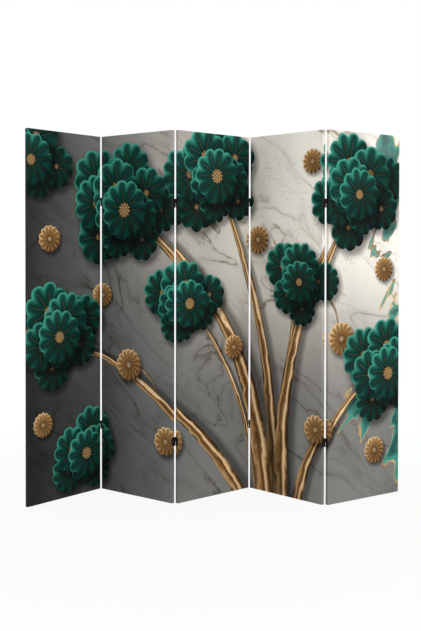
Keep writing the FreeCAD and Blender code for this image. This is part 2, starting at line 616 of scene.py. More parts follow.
class MarbleGround(Effect):
    """Veined marble that runs from dark at the lower left to cream at the right."""

    title = "Marble ground"
    takes = {"Vector": ("Place",), "Float": ("Width",)}
    gives = {"Color": ("Color",)}
    tones: ClassVar[Ramp] = {
        0.0: (0.004, 0.004, 0.004),
        0.16: (0.021, 0.023, 0.022),
        0.30: (0.072, 0.074, 0.071),
        0.43: (0.153, 0.157, 0.149),
        0.52: (0.236, 0.228, 0.211),
        0.70: (0.470, 0.445, 0.400),
        0.90: (0.830, 0.800, 0.715),
        1.0: (0.900, 0.880, 0.820),
    }
    vein_lean: ClassVar[float] = 0.62
    bold_vein: ClassVar[Triple] = (0.36, 0.30, 0.24)
    vein_haze: ClassVar[Triple] = (0.62, 0.59, 0.56)
    fine_thread: ClassVar[Triple] = (0.48, 0.42, 0.36)
    pale_teal: ClassVar[Triple] = (0.05, 0.30, 0.24)
    deep_teal: ClassVar[Triple] = (0.003, 0.085, 0.068)
    gilding: ClassVar[Ramp] = {0.35: (0.20, 0.105, 0.030), 0.6: (0.66, 0.43, 0.19)}

    @classmethod
    def wire(cls, w: Wiring, t: SimpleNamespace) -> Signals:
        """Lay clouds, two sets of grey veins and gilded teal shards.

        Args:
            w: The group's wiring.
            t: What the group takes, by name in lower case.

        Returns:
            What the group gives.
        """
        u, v, _ = t.place.parts()
        across = u / t.width
        cloud = w.noise(t.place, 1.6, 4.0, distortion=0.6)
        tone = across.line(across.line(-0.60, 1.15), 0.16)
        rise = v.step(0.35, 1.25).span(-1.0, 1.0)
        tone = rise.line(across.line(0.23, 0.02), tone)
        ground = w.ramp((cloud - 0.5).line(0.16, tone), cls.tones)

        feeds = {"Vector": t.place, "Angle": cls.vein_lean}
        lean = w.result("VectorRotate", feeds, rotation_type="Z_AXIS")
        drawn = lean.times((1.0, 2.3, 1.0))
        bold = abs(w.noise(drawn, 1.7, 5.0, distortion=1.1) - 0.5)
        fine = abs(w.noise(drawn, 3.9, 5.0, distortion=1.6) - 0.5)
        fading = w.noise(t.place, 3.1, 2.0)
        seen = fading.step(0.42, 0.62)
        vein = bold.step(0.016, 0.0) * seen
        ground = w.mix(vein * 0.9, ground, cls.bold_vein, "MULTIPLY")
        haze = bold.step(0.07, 0.0) * 0.30
        ground = w.mix(haze, ground, cls.vein_haze, "MULTIPLY")
        thread = fine.step(0.009, 0.0) * fading.step(0.6, 0.4)
        ground = w.mix(thread * 0.7, ground, cls.fine_thread, "MULTIPLY")

        drawn = lean.times((3.1, 1.0, 1.0))
        shard = w.noise(drawn, 2.1, 3.0, distortion=0.9)
        side = across.step(0.80, 0.93) * cloud.step(0.34, 0.52)
        shard = side.line(0.20, shard - 0.20)
        teal = shard.step(0.566, 0.572)
        rim = abs(shard - 0.562)
        deep = w.mix(shard.step(0.57, 0.66), cls.pale_teal, cls.deep_teal)
        ground = w.mix(teal * 0.9, ground, deep)
        gilt = w.ramp(fading, cls.gilding)
        return {"Color": w.mix(rim.step(0.009, 0.006) * 0.9, ground, gilt)}


class PlainWeave(Effect):
    """The over and under of a plain weave."""

    title = "Plain weave"
    takes = {"Vector": ("Place",), "Float": ("Pitch",)}
    gives = {"Float": ("Height", "Slub")}

    @classmethod
    def wire(cls, w: Wiring, t: SimpleNamespace) -> Signals:
        """Cross two waves, with thick and thin threads from stretched noise.

        Args:
            w: The group's wiring.
            t: What the group takes, by name in lower case.

        Returns:
            What the group gives.
        """
        x, y, _ = t.place.parts()
        turn = math.pi / t.pitch
        warp = (x * turn).sine()
        weft = (y * turn).sine()
        cell = warp * weft
        ridge = warp * warp * (weft * weft)
        thick = w.noise(w.joined(x * 900.0, y * 14.0), 1.0)
        long = w.noise(w.joined(x * 14.0, y * 900.0), 1.0)
        slub = (thick + long) * 0.5
        height = slub.line(0.6, cell.line(0.25, ridge * 0.5))
        return {"Height": height, "Slub": slub}


class TimberGrain(Effect):
    """Grain that runs along X, with growth rings, fibres and a few knots."""

    title = "Timber grain"
    takes = {"Vector": ("Place",)}
    gives = {"Float": ("Ring", "Fibre", "Knot")}
    heart: ClassVar[Triple] = (0.0, 0.085, 0.05)

    @classmethod
    def wire(cls, w: Wiring, t: SimpleNamespace) -> Signals:
        """Set rings about a far-off heart and bend them round the knots.

        Args:
            w: The group's wiring.
            t: What the group takes, by name in lower case.

        Returns:
            What the group gives.
        """
        slow = t.place.times((2.2, 22.0, 22.0))
        bend = w.noise(slow, 1.0, 3.0) - 0.5
        cell = t.place.times((2.6, 15.0, 15.0))
        feeds = {"Vector": cell, "Scale": 1.0, "Randomness": 0.9}
        eye = w.result("TexVoronoi", feeds, "Distance")
        knot = eye.step(0.16, 0.05)
        halo = eye.step(0.42, 0.08)
        far = t.place.plus(cls.heart).times((0.04, 1.0, 1.0)).length()
        far = halo.line(0.004, bend.line(0.012, far))
        ring = (far * 380.0).fraction()
        late = ring.step(0.35, 0.92) * ring.step(1.0, 0.94)
        hair = t.place.times((45.0, 2400.0, 2400.0))
        return {"Ring": late, "Fibre": w.noise(hair, 1.0, 3.0), "Knot": knot}


class Handling(Effect):
    """Smudges and fine scratches on a hard surface."""

    title = "Handling marks"
    takes = {"Vector": ("Place",), "Float": ("Scale",)}
    gives = {"Float": ("Smudge", "Scratch")}

    @classmethod
    def wire(cls, w: Wiring, t: SimpleNamespace) -> Signals:
        """Cloud the smudges and draw the scratches as thin stretched ridges.

        Args:
            w: The group's wiring.
            t: What the group takes, by name in lower case.

        Returns:
            What the group gives.
        """
        place = t.place.scaled(t.scale)
        smudge = w.noise(place, 1.0, 4.0, roughness=0.6)
        drawn = place.times((9.0, 3.0, 1.0))
        line = abs(w.noise(drawn, 1.0, 2.0) - 0.5)
        scratch = line.step(0.008, 0.0) * smudge.step(0.52, 0.62)
        return {"Smudge": smudge, "Scratch": scratch}


# --------------------------------------------------------------------------
# The print's design
# --------------------------------------------------------------------------


@dataclass(frozen=True)
class Motif:
    """One shape of the print, in metres on the flat mural.

    Room is how far the shape and its shadow reach, in widths of a reed or radii.
    """

    effect: ClassVar[type[Layer]]
    room: ClassVar[float]

    def reach(self) -> Point:
        """The left and right limits of the shape and its shadow."""
        raise NotImplementedError

    def feeds(self) -> Feeds:
        """What the shape's effect takes."""
        raise NotImplementedError


@dataclass(frozen=True)
class Reed(Motif):
    """One gold reed."""

    start: Point
    end: Point
    bow: float
    width: float
    tip: float

    effect: ClassVar[type[Layer]] = GoldReed
    room: ClassVar[float] = 3

    def reach(self) -> Point:
        """Find how far the reed, its bow and its shadow reach.

        Returns:
            The left and right limits.
        """
        spare = abs(self.bow) + self.room * self.width
        left, right = sorted((self.start[0], self.end[0]))
        return left - spare, right + spare

    def feeds(self) -> Feeds:
        """The reed's line and its widths."""
        line = {"start": (*self.start, 0.0), "end": (*self.end, 0.0), "bow": self.bow}
        return line | {"width": self.width, "tip": self.tip}


@dataclass(frozen=True)
class Disc(Motif):
    """One scalloped gold disc."""

    centre: Point
    radius: float
    turn: float
    lobes: int

    effect: ClassVar[type[Layer]] = LeafPad
    room: ClassVar[float] = 1.4

    def reach(self) -> Point:
        """The rim, with room for the shadow."""
        spare = self.room * self.radius
        return self.centre[0] - spare, self.centre[0] + spare

    def feeds(self) -> Feeds:
        """The disc's place, its size and its inks."""
        place = {"centre": (*self.centre, 0.0), "radius": self.radius}
        return place | {"turn": self.turn, "lobes": float(self.lobes)} | self.inks()

    def inks(self) -> Feeds:
        """Choose the gold and the size of the beaded middle.

        Returns:
            The effect's inks from dark to light, and its hub.
        """
        return {
            "hub": 0.12,
            "shade": (0.040, 0.018, 0.004),
            "body": (0.270, 0.142, 0.050),
            "glow": (0.80, 0.55, 0.28),
            "vein": (0.78, 0.58, 0.34),
        }


@dataclass(frozen=True)
class Leaf(Disc):
    """One teal leaf, whose tone is from 0 for dark to 1 for light."""

    tone: float

    def inks(self) -> Feeds:
        """Choose the teal. Only the lighter leaves show a wide beaded middle.

        Returns:
            The effect's inks from dark to light, and its hub.
        """
        lift = 0.6 + 0.8 * self.tone
        return {
            "hub": 0.07 + 0.32 * max(0.0, self.tone - 0.55),
            "shade": (0.0004, 0.0030 * lift, 0.0024 * lift),
            "body": (0.0014 * lift, 0.030 * lift, 0.022 * lift),
            "glow": (0.038 * lift, 0.250 * lift, 0.180 * lift),
            "vein": (0.62, 0.40, 0.17),
        }


@dataclass(frozen=True)
class Cluster:
    """Leaves that lie over each other round a centre."""

    centre: Point
    spread: float
    count: int
    radius: float
    turn: float

    golden_angle: ClassVar[float] = math.radians(137.508)
    flatness: ClassVar[float] = 0.9
    swing_pace: ClassVar[float] = 2.3
    mean_size: ClassVar[float] = 0.92
    size_swing: ClassVar[float] = 0.16
    outer_tone: ClassVar[float] = 0.42
    inner_lift: ClassVar[float] = 0.3
    tone_swing: ClassVar[float] = 0.22
    lobe_counts: ClassVar[tuple[int, int]] = (11, 9)

    def leaves(self) -> list[Leaf]:
        """Set the leaves round the centre.

        Returns:
            The leaves from the middle one, which lies topmost, to the outermost.
        """
        found = []
        for step in range(self.count):
            share = step / self.count
            angle = self.turn + step * self.golden_angle
            out = self.spread * math.sqrt(share)
            u = self.centre[0] + out * math.cos(angle)
            v = self.centre[1] + out * math.sin(angle) * self.flatness
            swing = math.sin(step * self.swing_pace + self.turn)
            radius = self.radius * (self.mean_size + self.size_swing * swing)
            lift = self.inner_lift * (1 - share)
            tone = self.outer_tone + lift + self.tone_swing * swing
            lobes = self.lobe_counts[step % 2]
            found.append(Leaf((u, v), radius, angle + swing, lobes, tone))
        return found


@dataclass(frozen=True)
class MuralDesign:
    """The whole print over the five panels laid flat."""

    reeds: tuple[Reed, ...] = (
        Reed((1.44, -0.06), (0.60, 1.36), -0.23, 0.058, 0.014),
        Reed((1.56, -0.06), (1.99, 1.42), 0.15, 0.046, 0.012),
        Reed((1.50, -0.06), (1.14, 1.50), -0.11, 0.042, 0.011),
        Reed((1.32, -0.06), (0.20, 0.72), -0.15, 0.038, 0.009),
        Reed((1.64, -0.06), (2.18, 0.62), 0.12, 0.032, 0.008),
        Reed((1.40, -0.06), (0.96, 0.92), -0.10, 0.019, 0.006),
        Reed((1.59, -0.06), (1.66, 1.00), 0.05, 0.018, 0.006),
        Reed((0.93, 1.10), (0.80, 1.00), 0.02, 0.005, 0.003),
        Reed((0.80, 0.52), (0.66, 0.62), -0.02, 0.005, 0.003),
        Reed((1.80, 0.95), (1.86, 0.80), 0.02, 0.005, 0.003),
    )
    clusters: tuple[Cluster, ...] = (
        Cluster((0.60, 1.36), 0.25, 12, 0.140, 1.1),
        Cluster((1.99, 1.43), 0.21, 9, 0.136, 0.1),
        Cluster((1.14, 1.52), 0.22, 10, 0.130, 1.3),
        Cluster((2.18, 0.58), 0.20, 9, 0.128, 2.2),
        Cluster((0.19, 0.76), 0.20, 9, 0.132, 2.6),
        Cluster((1.66, 1.02), 0.15, 7, 0.110, 3.0),
        Cluster((0.97, 0.92), 0.15, 7, 0.112, 0.9),
        Cluster((0.36, 0.19), 0.15, 7, 0.112, 1.9),
        Cluster((0.02, 1.58), 0.18, 7, 0.130, 0.4),
    )
    discs: tuple[Disc, ...] = (
        Disc((0.80, 0.96), 0.072, 0.2, 15),
        Disc((0.46, 0.95), 0.060, 0.9, 13),
        Disc((0.63, 0.62), 0.080, 1.5, 15),
        Disc((0.86, 0.28), 0.070, 0.4, 13),
        Disc((1.40, 1.22), 0.072, 1.1, 15),
        Disc((1.25, 0.70), 0.062, 0.7, 13),
        Disc((1.88, 0.76), 0.080, 0.3, 15),
        Disc((1.76, 0.34), 0.070, 1.8, 13),
        Disc((2.09, 0.22), 0.066, 0.6, 15),
        Disc((0.13, 1.22), 0.066, 1.2, 13),
        Disc((0.09, 0.36), 0.060, 2.0, 15),
        Disc((1.74, 1.58), 0.060, 0.5, 13),
        Disc((2.15, 1.08), 0.062, 1.4, 15),
    )

    def between(self, low: float, high: float) -> list[Motif]:
        """Find the shapes that reach into a strip of the mural.

        Args:
            low: The strip's left edge.
            high: The strip's right edge.

        Returns:
            The shapes from the topmost down.
        """
        leaves = [leaf for cluster in self.clusters for leaf in cluster.leaves()]
        found = []
        for shape in (*leaves, *self.discs, *self.reeds):
            left, right = shape.reach()
            if right > low and left < high:
                found.append(shape)
        return found


# --------------------------------------------------------------------------
# Finishes
# --------------------------------------------------------------------------


@dataclass(frozen=True)
class Finish:
    """The base of every finish: a material with one Principled shader."""

    title: str

    def material(self) -> bpy.types.Material:
        """Build the material the first time that it is asked for.

        Returns:
            The material.
        """
        known = bpy.data.materials.get(self.title)
        if known:
            return known
        made = bpy.data.materials.new(self.title)
        made.use_nodes = True
        wires = Wiring(made.node_tree)
        wires.feed(made.node_tree.nodes["Principled BSDF"], self.wire(wires))
        return made

    def wire(self, w: Wiring) -> Feeds:
        """Join the finish's nodes.

        Args:
            w: The material's wiring.

        Returns:
            What goes into the shader's inputs.
        """
        raise NotImplementedError

    @staticmethod
    def relief(w: Wiring, height: Signal, depth: float, strength: float) -> Signal:
        """A Bump node's normal for a height of the given depth."""
        feeds = {"Height": height, "Distance": depth, "Strength": strength}
        return w.result("Bump", feeds)


@dataclass(frozen=True)
class PrintedCanvas(Finish):
    """The printed face of one panel's canvas, bare past the print's edge."""

    low_u: float
    sizes: ScreenSizes
    design: MuralDesign = field(default_factory=MuralDesign)
    thread_pitch: float = 0.55 * MM
    printed_turn: float = 22 * MM
    print_fade: float = 0.4 * MM
    crease_reach: Point = (0.8 * MM, 0.1 * MM)
    # A grey laid thinly along the folds: partly rubbed ink, partly painted shade.
    rubbed_ink: Triple = (0.45, 0.44, 0.41)
    primer: tuple[Triple, Triple] = ((0.66, 0.64, 0.58), (0.80, 0.78, 0.73))

    def wire(self, w: Wiring) -> Feeds:
        """Lay the print's shapes over its ground.

        Args:
            w: The material's wiring.

        Returns:
            What goes into the shader's inputs.
        """
        size = self.sizes
        place = w.result("UVMap", uv_map=CanvasWrap.uv_name)
        low = self.low_u - size.turned_margin
        high = self.low_u + size.panel_width + size.turned_margin
        ripple = (w.noise(place, 13.0, 3.0) - 0.5) * 2.0
        layer = {"place": place, "color": (0.0, 0.0, 0.0), "clear": 1.0}
        for motif in self.design.between(low, high):
            given = w.effect(motif.effect, ripple=ripple, **motif.feeds(), **layer)
            layer = vars(given)
        ground = w.effect(MarbleGround, place=place, width=size.mural_width).color
        colour = w.mix(layer["clear"], layer["color"], ground, "ADD")
        return self.cloth(w, place, colour)

    def cloth(self, w: Wiring, place: Signal, colour: Signal) -> Feeds:
        """Add the weave, the ink's unevenness, rubbed ink with painted shade along the
        folds, and the bare margin.

        Args:
            w: The material's wiring.
            place: The place on the flat mural.
            colour: The print's colour.

        Returns:
            What goes into the shader's inputs.
        """
        size = self.sizes
        weave = w.effect(PlainWeave, place=place, pitch=self.thread_pitch)
        u, v, _ = place.parts()
        middle_u = self.low_u + size.panel_width / 2
        past_u = abs(u - middle_u) - size.panel_width / 2
        past_v = abs(v - size.panel_height / 2) - size.panel_height / 2
        past = past_u.larger(past_v)
        # Along the folds the print greys a little: partly rubbed ink, partly painted
        # shade that darkens the lighter print there.
        crease = abs(past).step(*self.crease_reach)
        fold_rub_and_shade = crease * w.noise(place, 160.0, 3.0).step(0.55, 0.72)
        colour = w.mix(fold_rub_and_shade * 0.20, colour, self.rubbed_ink)
        thin_ink = weave.slub.line(0.16, 0.92)
        colour = w.mix(1.0, colour, w.joined(thin_ink, thin_ink, thin_ink), "MULTIPLY")
        bare = past.step(self.printed_turn, self.printed_turn + self.print_fade)
        primed = w.mix(weave.slub, *self.primer)
        return {
            "Base Color": w.mix(bare, colour, primed),
            "Roughness": weave.slub.span(0.60, 0.82),
            "Specular IOR Level": 0.08,
            "Normal": self.relief(w, weave.height, 0.10 * MM, 0.7),
        }


@dataclass(frozen=True)
class RawCanvas(Finish):
    """The unprimed back of the canvas and its cut edges."""

    thread_pitch: float = 0.55 * MM
    husk: Triple = (0.20, 0.13, 0.06)
    stain: Triple = (0.36, 0.34, 0.28)
    cotton: ClassVar[Ramp] = {
        0.25: (0.46, 0.39, 0.28),
        0.55: (0.62, 0.55, 0.42),
        0.8: (0.70, 0.64, 0.52),
    }

    def wire(self, w: Wiring) -> Feeds:
        """Join cream cotton threads with darker flecks of husk.

        Args:
            w: The material's wiring.

        Returns:
            What goes into the shader's inputs.
        """
        place = w.result("UVMap", uv_map=CanvasWrap.uv_name)
        weave = w.effect(PlainWeave, place=place, pitch=self.thread_pitch)
        cotton = w.ramp(weave.slub, self.cotton)
        fleck = w.noise(place, 420.0, 2.0).step(0.70, 0.76)
        cotton = w.mix(fleck * 0.6, cotton, self.husk)
        seep = w.noise(place, 5.0, 3.0).step(0.35, 0.75)
        return {
            "Base Color": w.mix(seep * 0.16, cotton, self.stain),
            "Roughness": 0.92,
            "Specular IOR Level": 0.2,
            "Normal": self.relief(w, weave.height, 0.16 * MM, 0.9),
        }


@dataclass(frozen=True)
class PlanedPine(Finish):
    """Raw planed pine whose grain runs along one bar."""

    yaw: float
    upright: bool
    batch: int
    early_wood: Triple = (0.640, 0.440, 0.235)
    late_wood: Triple = (0.455, 0.262, 0.110)
    dark_fibre: Triple = (0.500, 0.310, 0.145)
    pale_fibre: Triple = (0.70, 0.52, 0.30)
    knot: Triple = (0.165, 0.075, 0.030)
    handled: Triple = (0.36, 0.27, 0.17)
    marks_scale: float = 26.0

    def wire(self, w: Wiring) -> Feeds:
        """Turn the grain along the bar and colour its rings and knots.

        Args:
            w: The material's wiring.

        Returns:
            What goes into the shader's inputs.
        """
        place = w.result("TexCoord", output="Object")
        squared = {"Vector": place, "Rotation": (0.0, 0.0, -self.yaw)}
        bar = w.result("Mapping", squared)
        if self.upright:
            laid_down = {"Vector": bar, "Rotation": (0.0, QUARTER_TURN, 0.0)}
            bar = w.result("Mapping", laid_down)
        shift = (0.37 * self.batch, 0.021 * (self.batch % 7), 0.017 * (self.batch % 5))
        cut = w.result("Mapping", {"Vector": bar, "Location": shift})
        grain = w.effect(TimberGrain, place=cut)
        wood = w.mix(grain.ring * 0.75, self.early_wood, self.late_wood)
        wood = w.mix(grain.fibre.step(0.55, 0.8), wood, self.dark_fibre)
        wood = w.mix(grain.fibre.step(0.4, 0.2) * 0.4, wood, self.pale_fibre)
        wood = w.mix(grain.knot * 0.9, wood, self.knot)
        marks = w.effect(Handling, place=place, scale=self.marks_scale)
        dulled = marks.smudge.step(0.45, 0.75) * 0.22
        return {
            "Base Color": w.mix(dulled, wood, self.handled),
            "Roughness": grain.fibre.span(0.58, 0.78),
            "Normal": self.relief(w, grain.ring.line(0.5, grain.fibre), 0.12 * MM, 0.6),
        }


@dataclass(frozen=True)
class HingePaint(Finish):
    """Black-brown satin paint on steel, rubbed through in places."""

    bare_steel: Triple = (0.30, 0.28, 0.26)
    marks_scale: float = 210.0
    paint: ClassVar[Ramp] = {
        0.3: (0.003, 0.0024, 0.002),
        0.6: (0.007, 0.005, 0.004),
        0.8: (0.018, 0.012, 0.008),
    }

    def wire(self, w: Wiring) -> Feeds:
        """Colour the paint and let steel show in the scratches.

        Args:
            w: The material's wiring.

        Returns:
            What goes into the shader's inputs.
        """
        place = w.result("TexCoord", output="Object")
        marks = w.effect(Handling, place=place, scale=self.marks_scale)
        paint = w.ramp(marks.smudge, self.paint)
        return {
            "Base Color": w.mix(marks.scratch, paint, self.bare_steel),
            "Metallic": marks.scratch * 0.8,
            "Roughness": marks.smudge.span(0.30, 0.58),
            "Specular IOR Level": 0.3,
            "Normal": self.relief(w, w.noise(place, 1500.0, 2.0), 0.04 * MM, 0.5),
        }


@dataclass(frozen=True)
class BrightWire(Finish):
    """Zinc-coated staple wire, dull in places."""

    marks_scale: float = 320.0
    zinc: ClassVar[Ramp] = {
        0.3: (0.17, 0.17, 0.18),
        0.7: (0.42, 0.42, 0.43),
    }

    def wire(self, w: Wiring) -> Feeds:
        """Cloud the zinc.

        Args:
            w: The material's wiring.

        Returns:
            What goes into the shader's inputs.
        """
        place = w.result("TexCoord", output="Object")
        smudge = w.effect(Handling, place=place, scale=self.marks_scale).smudge
        return {
            "Base Color": w.ramp(smudge, self.zinc),
            "Roughness": smudge.span(0.26, 0.46),
            "Metallic": 1.0,
        }


# --------------------------------------------------------------------------
# Making pieces
# --------------------------------------------------------------------------


def mesh_of(name: str, shape: BMesh) -> bpy.types.Mesh:
    """Keep a bmesh as a mesh.

    Args:
        name: The mesh's name.
        shape: The bmesh. It is freed.

    Returns:
        The mesh.
    """
    mesh = bpy.data.meshes.new(name)
    shape.to_mesh(mesh)
    shape.free()
    return mesh


def placed(name: str, data: bpy.types.ID) -> bpy.types.Object:
    """Add an object to the scene.

    Args:
        name: The object's name.
        data: Its mesh, light or camera.

    Returns:
        The object.
    """
    made = bpy.data.objects.new(name, data)
    bpy.context.scene.collection.objects.link(made)
    return made


def make_piece(
    name: str,
    shape: BMesh,
    finishes: list[Finish],
    body: str,
    sharp_angle: float = math.radians(40),
) -> bpy.types.Object:
    """Turn a finished bmesh into a piece that rides on a body.

    Args:
        name: The piece's name.
        shape: The mesh in the screen's frame. It is freed.
        finishes: The finishes, in the order of the material numbers.
        body: The CAD body that carries the piece.
        sharp_angle: Edges that turn by more than this stay sharp.

    Returns:
        The new object.
    """
    shape.normal_update()
    for face in shape.faces:
        face.smooth = True
    for edge in shape.edges:
        edge.smooth = len(edge.link_faces) == 2 and edge.calc_face_angle() < sharp_angle
    made = placed(name, mesh_of(name, shape))
    for finish in finishes:
        made.data.materials.append(finish.material())
    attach(made, body)
    log.info("%s: %d faces", name, len(made.data.polygons))
    return made


def stamp(target: BMesh, pattern: BMesh, places: list[Matrix]) -> None:
    """Add copies of a small mesh to another.

    Args:
        target: The mesh that gets the copies.
        pattern: The small mesh. It is freed.
        places: Where the copies go.
    """
    mesh = mesh_of("pattern", pattern)
    for place in places:
        before = len(target.verts)
        target.from_mesh(mesh)
        target.verts.ensure_lookup_table()
        bmesh.ops.transform(target, matrix=place, verts=target.verts[before:])
    bpy.data.meshes.remove(mesh)


def cut_lines(shape: BMesh, axis: int, places: list[float]) -> None:
    """Cut a mesh across.

    Args:
        shape: The mesh.
        axis: 0, 1 or 2, for cuts that face along X, Y or Z.
        places: Where the cuts go on that axis.
    """
    normal = Vector((0, 0, 0))
    normal[axis] = 1.0
    for place in places:
        parts = [*shape.verts, *shape.edges, *shape.faces]
        bmesh.ops.bisect_plane(
            shape, geom=parts, dist=TOUCH / 10, plane_co=normal * place, plane_no=normal
        )


def round_edges(
    shape: BMesh,
    edges: list[bmesh.types.BMEdge],
    offset: float,
    segments: int,
    clamped: bool = False,
) -> None:
    """Round some edges of a mesh.

    Args:
        shape: The mesh.
        edges: The edges to round.
        offset: How far the rounding reaches over each face.
        segments: How many faces it gets.
        clamped: Whether it stops before it meets another edge.
    """
    bmesh.ops.bevel(
        shape,
        geom=edges,
        offset=offset,
        offset_type="OFFSET",
        segments=segments,
        profile=0.5,
        affect="EDGES",
        material=-1,
        clamp_overlap=clamped,
    )


def raise_face(
    shape: BMesh, face: bmesh.types.BMFace, rise: Vector
) -> list[bmesh.types.BMVert]:
    """Pull a face out of a mesh.

    Args:
        shape: The mesh.
        face: The face.
        rise: How far and which way it moves.

    Returns:
        The corners that have moved.
    """
    grown = bmesh.ops.extrude_face_region(shape, geom=[face])["geom"]
    raised = [part for part in grown if isinstance(part, bmesh.types.BMVert)]
    bmesh.ops.translate(shape, verts=raised, vec=rise)
    return raised


@dataclass
class CanvasWrap:
    """One panel's canvas: cut flat, folded round the bars and turned to the back.

    Line_share, sag_share and pull_share are in widths of the bars' lip.
    """

    number: int
    place: Matrix
    sizes: ScreenSizes
    fold_radius: float = 0.7 * MM
    fold_segments: int = 3
    least_fold: float = 1.0
    sag: float = 0.55 * MM
    staple_pull: float = 0.12 * MM
    line_share: float = 3.2
    sag_share: float = 4.0
    pull_share: float = 3.0
    column_count: int = 12
    row_count: int = 44
    cloth_share: float = 0.92
    doubled_share: float = 0.8
    doubled_round: float = 0.6

    uv_name: ClassVar[str] = "Mural"

    @property
    def body(self) -> str:
        """The CAD body that carries the canvas."""
        return f"panel_{self.number}"

    @property
    def low_u(self) -> float:
        """Where the panel's part of the flat mural starts."""
        return (self.number - 1) * self.sizes.panel_width

    def printed(self) -> PrintedCanvas:
        """The finish with the panel's part of the print."""
        return PrintedCanvas(f"Printed canvas {self.number}", self.low_u, self.sizes)

    def lines(self, length: float, count: int) -> list[float]:
        """Where the flat cloth is cut along one direction.

        Args:
            length: The panel's width or height.
            count: How many even lines the front gets besides the folds.

        Returns:
            The places of the fold lines, the lip lines and the even lines.
        """
        lip = self.sizes.lip_width
        ends = (-self.sizes.panel_depth, 0.0, lip, self.line_share * lip)
        even = [length * (step + 1) / (count + 1) for step in range(count)]
        clear = self.sag_share * lip
        even = [place for place in even if clear < place < length - clear]
        return [*ends, *(length - end for end in reversed(ends)), *even]

    def flat_cloth(self) -> BMesh:
        """Cut the cross-shaped cloth, with its lines and its mural coordinates.

        Returns:
            The cloth, flat in the plane of the panel's front.
        """
        size = self.sizes
        width, height, margin = size.panel_width, size.panel_height, size.turned_margin
        shape = bmesh.new()
        upright = Matrix.Rotation(QUARTER_TURN, 4, "X")
        grow = Matrix.Diagonal((width + 2 * margin, height + 2 * margin, 1, 1))
        centre = Matrix.Translation((width / 2, 0, height / 2))
        bmesh.ops.create_grid(
            shape, x_segments=1, y_segments=1, size=0.5, matrix=centre @ upright @ grow
        )
        cut_lines(shape, 0, self.lines(width, self.column_count))
        cut_lines(shape, 2, self.lines(height, self.row_count))
        for x, z in product((0, 1), repeat=2):
            corner = Vector((x * width, 0, z * height))
            self.cut_corner(shape, corner, Vector((2 * x - 1, 0, 2 * z - 1)))
        sheet = shape.loops.layers.uv.new(self.uv_name)
        for face in shape.faces:
            for loop in face.loops:
                loop[sheet].uv = (self.low_u + loop.vert.co.x, loop.vert.co.z)
        return shape

    def cut_corner(self, shape: BMesh, corner: Vector, out: Vector) -> None:
        """Take one corner out of the flat cloth and mitre the flaps beside it.

        Args:
            shape: The flat cloth.
            corner: The corner of the panel's front.
            out: 1 or -1 along X and Z, for the way out of the panel.
        """

        def past(face: bmesh.types.BMFace) -> Vector:
            """How far a face's middle lies past the corner along X and Z."""
            return (face.calc_center_median() - corner) * out

        gone = [f for f in shape.faces if past(f).x > TOUCH and past(f).z > TOUCH]
        bmesh.ops.delete(shape, geom=gone, context="FACES")
        depth = self.sizes.panel_depth
        for axis in (0, 2):
            start = corner.copy()
            start[axis] += out[axis] * depth
            flap = [face for face in shape.faces if past(face)[axis] > depth]
            parts = [part for f in flap for part in (*f.verts, *f.edges, f)]
            bmesh.ops.bisect_plane(
                shape,
                geom=list(dict.fromkeys(parts)),
                dist=TOUCH / 10,
                plane_co=start,
                plane_no=out,
                clear_outer=True,
            )

    def fold(self, shape: BMesh) -> None:
        """Turn the four sides back round the bars, then onto their backs.

        Args:
            shape: The flat cloth.
        """
        size = self.sizes
        depth = Vector((0, size.panel_depth, 0))
        across = (0, "Z", 1, size.panel_width)
        upwards = (2, "X", -1, size.panel_height)
        for axis, pole, way, length in (across, upwards):
            for side, edge in ((1, length), (-1, 0.0)):
                turn = Matrix.Rotation(side * way * QUARTER_TURN, 3, pole)
                hinge = Vector((0, 0, 0))
                hinge[axis] = edge
                arm = [v for v in shape.verts if side * (v.co[axis] - edge) > TOUCH]
                reach = size.panel_depth + TOUCH
                flap = [v for v in arm if side * (v.co[axis] - edge) > reach]
                bmesh.ops.rotate(shape, verts=arm, cent=hinge, matrix=turn)
                bmesh.ops.rotate(shape, verts=flap, cent=hinge + depth, matrix=turn)
        bmesh.ops.remove_doubles(shape, verts=shape.verts, dist=TOUCH)

    def soften_folds(self, shape: BMesh) -> None:
        """Round every fold of the cloth.

        Args:
            shape: The folded cloth.
        """
        shape.normal_update()
        inner = [edge for edge in shape.edges if len(edge.link_faces) == 2]
        folds = [edge for edge in inner if edge.calc_face_angle() > self.least_fold]
        round_edges(shape, folds, self.fold_radius, self.fold_segments, clamped=True)

    def slacken_front(self, shape: BMesh) -> None:
        """Let the front sink a little between the lips, pulled by its staples.

        Args:
            shape: The folded cloth.
        """
        size = self.sizes
        width, height, lip = size.panel_width, size.panel_height, size.lip_width
        for vert in shape.verts:
            x, y, z = vert.co
            from_side, from_end = min(x, width - x), min(z, height - z)
            inward = min(from_side, from_end) - lip
            if abs(y) > TOUCH or inward <= 0:
                continue
            settled = 1 - math.exp(-inward / (self.sag_share * lip))
            along = z if from_side < from_end else x
            pull = math.cos(2 * math.pi * along / StapleRow.pitch)
            pull *= math.exp(-inward / (self.pull_share * lip))
            vert.co.y += self.sag * settled + self.staple_pull * pull * settled

    def build(self) -> None:
        """Make the canvas, which stands for the panel's three canvas nodes."""
        size = self.sizes
        shape = self.flat_cloth()
        self.fold(shape)
        self.soften_folds(shape)
        self.slacken_front(shape)
        bmesh.ops.transform(shape, matrix=self.place, verts=shape.verts)
        faces = [self.printed(), RawCanvas("Raw canvas")]
        made = make_piece(f"{self.body}_canvas", shape, faces, self.body)
        thick = made.modifiers.new("Cloth thickness", "SOLIDIFY")
        thick.thickness = size.canvas_thickness * self.cloth_share
        thick.offset = -1.0
        thick.use_even_offset = True
        thick.material_offset = 1
        thick.material_offset_rim = 1
        nodes = [f"{self.body}_canvas_{part}" for part in ("front", "edges", "flaps")]
        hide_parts(*nodes)
        folds = self.corner_folds()

